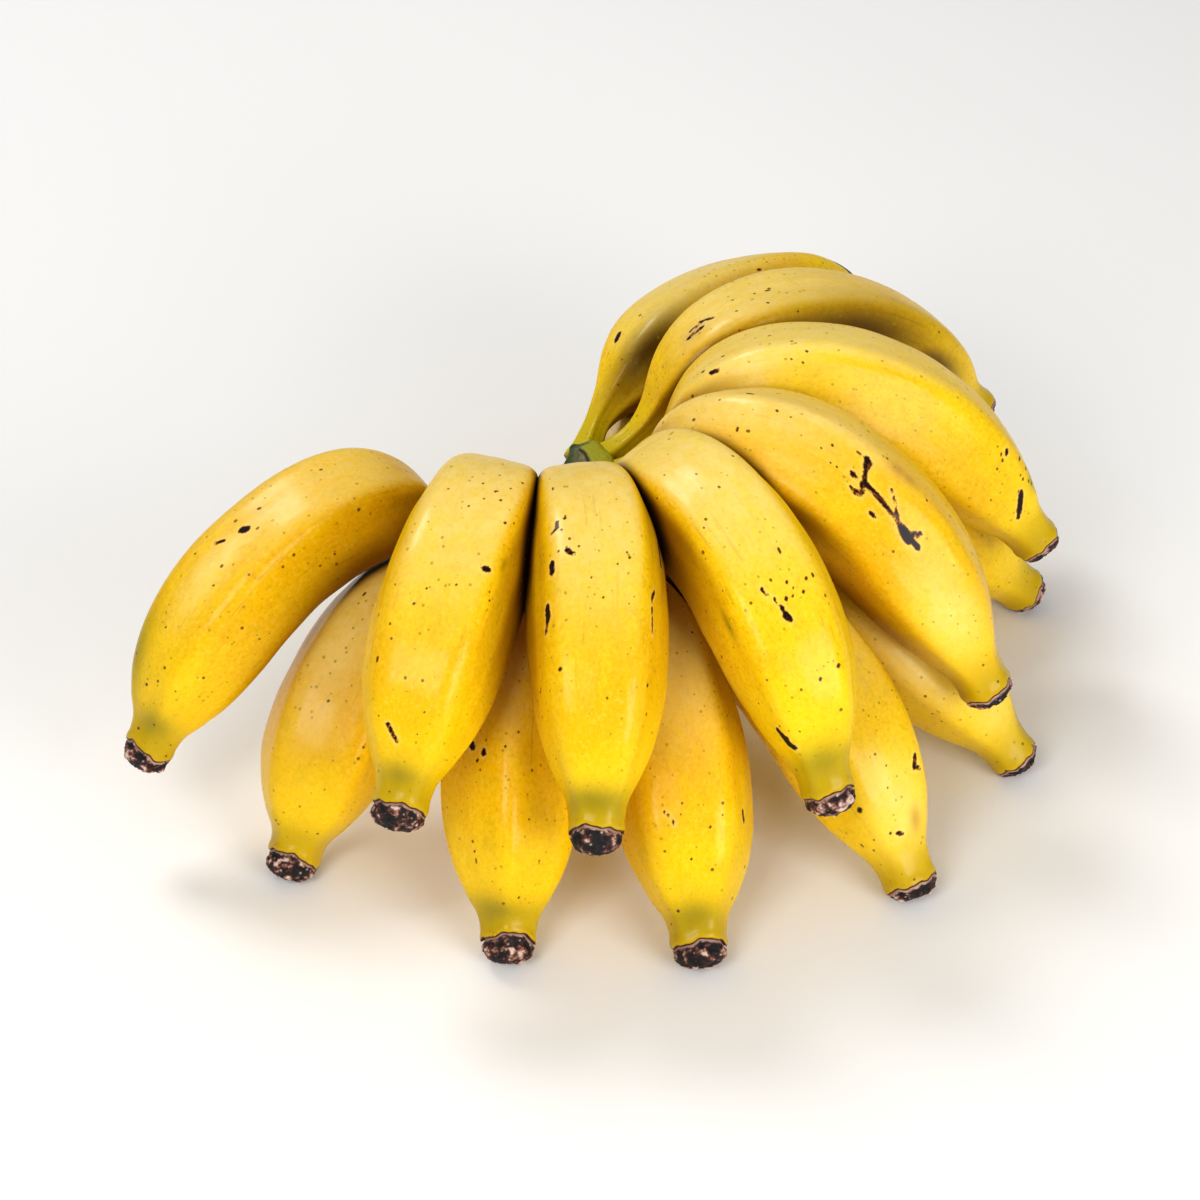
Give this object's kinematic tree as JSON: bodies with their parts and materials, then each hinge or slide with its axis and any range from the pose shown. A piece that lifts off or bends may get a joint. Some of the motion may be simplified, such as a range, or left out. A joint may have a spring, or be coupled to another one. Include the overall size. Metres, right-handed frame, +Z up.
{
  "type": "bunch of bananas",
  "caption": "Bunch of short plump yellow bananas growing in rows from a green crown, with dried brown blossom ends, standing on its lower tips.",
  "frame": {"origin": "under the middle of the bunch's bounding box, on the table that the lower row's tips stand on", "axes": "+X to the picture's right along the longest side, +Y away from the camera, +Z up"},
  "size_m": [0.2552, 0.2486, 0.1143],
  "materials": {
    "skin": "ripe waxy banana skin, warm yellow with pale shoulders, greenish at both ends, speckled brown",
    "crown": "cut green stem tissue, drying grey-green and brown at the cut",
    "blossom_end": "dried crumbly blossom end, dark brown"
  },
  "bodies": {
    "root": {"crown": "crown", "banana_upper_1": "skin", "blossom_end_upper_1": "blossom_end", "banana_upper_2": "skin", "blossom_end_upper_2": "blossom_end", "banana_upper_3": "skin", "blossom_end_upper_3": "blossom_end", "banana_upper_4": "skin", "blossom_end_upper_4": "blossom_end", "banana_upper_5": "skin", "blossom_end_upper_5": "blossom_end", "banana_upper_6": "skin", "blossom_end_upper_6": "blossom_end", "banana_upper_7": "skin", "blossom_end_upper_7": "blossom_end", "banana_upper_8": "skin", "blossom_end_upper_8": "blossom_end", "banana_lower_1": "skin", "blossom_end_lower_1": "blossom_end", "banana_lower_2": "skin", "blossom_end_lower_2": "blossom_end", "banana_lower_3": "skin", "blossom_end_lower_3": "blossom_end", "banana_lower_4": "skin", "blossom_end_lower_4": "blossom_end", "banana_lower_5": "skin", "blossom_end_lower_5": "blossom_end", "banana_lower_6": "skin", "blossom_end_lower_6": "blossom_end", "banana_lower_7": "skin", "blossom_end_lower_7": "blossom_end", "banana_lower_8": "skin", "blossom_end_lower_8": "blossom_end"}
  },
  "joints": []
}
